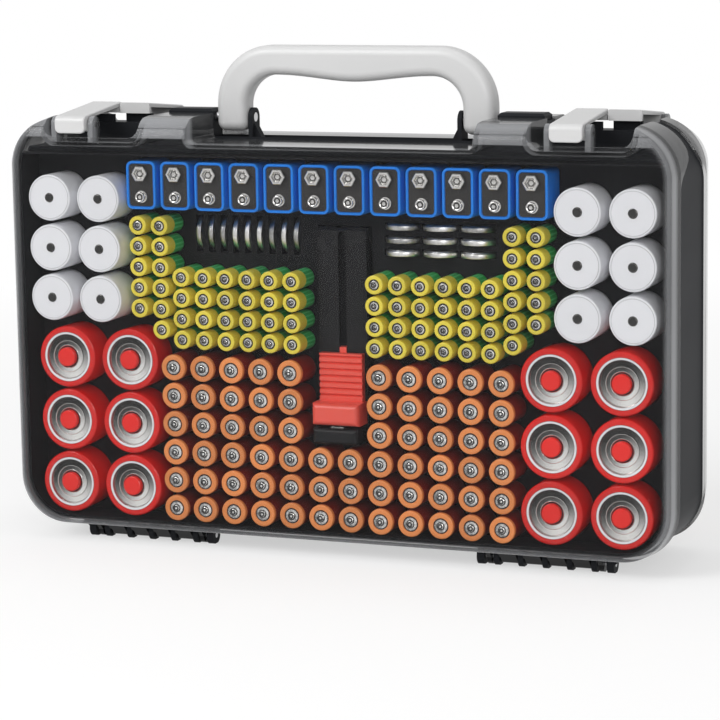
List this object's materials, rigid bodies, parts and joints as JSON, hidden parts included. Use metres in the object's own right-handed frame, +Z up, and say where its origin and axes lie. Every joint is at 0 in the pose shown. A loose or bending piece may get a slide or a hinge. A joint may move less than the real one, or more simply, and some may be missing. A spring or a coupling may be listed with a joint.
{
  "type": "battery storage case",
  "caption": "Two-sided carrying case for household batteries: clear lids hinged at the base, latches, swing handle, front and rear trays of cells and a sliding tester.",
  "frame": {"origin": "centre of the footprint at the level of the feet", "axes": "+X to the right seen from the front, +Y to the rear lid, +Z up; the front lid faces -Y"},
  "size_m": [0.3772, 0.092, 0.2739],
  "materials": {
    "black_plastic": "satin moulded plastic",
    "tray_plastic": "satin moulded plastic",
    "clear_plastic": "clear polished plastic",
    "handle_plastic": "light grey moulded plastic",
    "latch_plastic": "pale grey moulded plastic",
    "tester_plastic": "smooth moulded plastic",
    "slider_plastic": "red moulded plastic",
    "board_resin": "green circuit board",
    "contact_metal": "plated contact strip",
    "pin_steel": "plain steel rod",
    "screw_steel": "plated screw",
    "aa_cell": "dark jacket with an orange end ring",
    "aaa_cell": "green jacket with a yellow end ring",
    "copper_aaa_cell": "copper jacket with white and green bands",
    "c_cell": "white wrap",
    "d_cell": "red wrap with a white ring",
    "nine_volt_cell": "blue jacket with a dark end",
    "coin_cell": "nickel-plated steel can",
    "alarm_cell": "gold jacket",
    "lithium_cell": "cream jacket with dark red bands",
    "photo_long_cell": "silver-white jacket with a dark band",
    "photo_short_cell": "white jacket with a blue patch"
  },
  "bodies": {
    "case": {"body_frame": "black_plastic", "front_tray": "tray_plastic", "tray_rim": "tray_plastic", "rear_tray": "tray_plastic", "tray_screws": "screw_steel", "front_hinge_pin_left": "pin_steel", "front_hinge_pin_right": "pin_steel", "rear_hinge_pin_left": "pin_steel", "rear_hinge_pin_right": "pin_steel", "handle_pin_left": "pin_steel", "handle_pin_right": "pin_steel", "tester_body": "tester_plastic", "tester_board": "board_resin", "tester_contact": "contact_metal", "aa_cells": "aa_cell", "aaa_cells": "aaa_cell", "c_cells": "c_cell", "d_cells": "d_cell", "nine_volt_cells": "nine_volt_cell", "flat_coin_cells": "coin_cell", "upright_coin_cells": "coin_cell", "rear_aa_cells": "aa_cell", "rear_alarm_column_cells": "alarm_cell", "rear_alarm_row_cells": "alarm_cell", "rear_copper_aaa_cells": "copper_aaa_cell", "rear_green_aaa_cells": "aaa_cell", "rear_lithium_cells": "lithium_cell", "rear_photo_long_cells": "photo_long_cell", "rear_photo_short_cells": "photo_short_cell"},
    "front_lid": {"front_lid": "clear_plastic", "front_latch_pin_left": "pin_steel", "front_latch_pin_right": "pin_steel"},
    "rear_lid": {"rear_lid": "clear_plastic", "rear_latch_pin_left": "pin_steel", "rear_latch_pin_right": "pin_steel"},
    "front_latch_left": {"front_latch_left": "latch_plastic"},
    "front_latch_right": {"front_latch_right": "latch_plastic"},
    "rear_latch_left": {"rear_latch_left": "latch_plastic"},
    "rear_latch_right": {"rear_latch_right": "latch_plastic"},
    "handle": {"handle": "handle_plastic"},
    "tester_slider": {"tester_slider": "slider_plastic", "slider_contact": "contact_metal"}
  },
  "joints": [
    {"name": "front_lid_hinge", "type": "hinge", "parent": "case", "child": "front_lid", "pos_m": [0, -0.026, 0.0045], "axis": [1, 0, 0], "range_deg": [0, 160]},
    {"name": "rear_lid_hinge", "type": "hinge", "parent": "case", "child": "rear_lid", "pos_m": [0, 0.0165, 0.0045], "axis": [-1, 0, 0], "range_deg": [0, 160]},
    {"name": "front_latch_left_pivot", "type": "hinge", "parent": "front_lid", "child": "front_latch_left", "pos_m": [-0.151, -0.037, 0.23204], "axis": [1, 0, 0], "range_deg": [0, 100]},
    {"name": "front_latch_right_pivot", "type": "hinge", "parent": "front_lid", "child": "front_latch_right", "pos_m": [0.1315, -0.037, 0.23204], "axis": [1, 0, 0], "range_deg": [0, 100]},
    {"name": "rear_latch_left_pivot", "type": "hinge", "parent": "rear_lid", "child": "rear_latch_left", "pos_m": [-0.1315, 0.037, 0.23204], "axis": [-1, 0, 0], "range_deg": [0, 100]},
    {"name": "rear_latch_right_pivot", "type": "hinge", "parent": "rear_lid", "child": "rear_latch_right", "pos_m": [0.151, 0.037, 0.23204], "axis": [-1, 0, 0], "range_deg": [0, 100]},
    {"name": "handle_swing", "type": "hinge", "parent": "case", "child": "handle", "pos_m": [0, 0, 0.23454], "axis": [1, 0, 0], "range_deg": [-90, 90]},
    {"name": "tester_slide", "type": "slide", "parent": "case", "child": "tester_slider", "axis": [0, 0, 1], "range_m": [0, 0.061]}
  ]
}
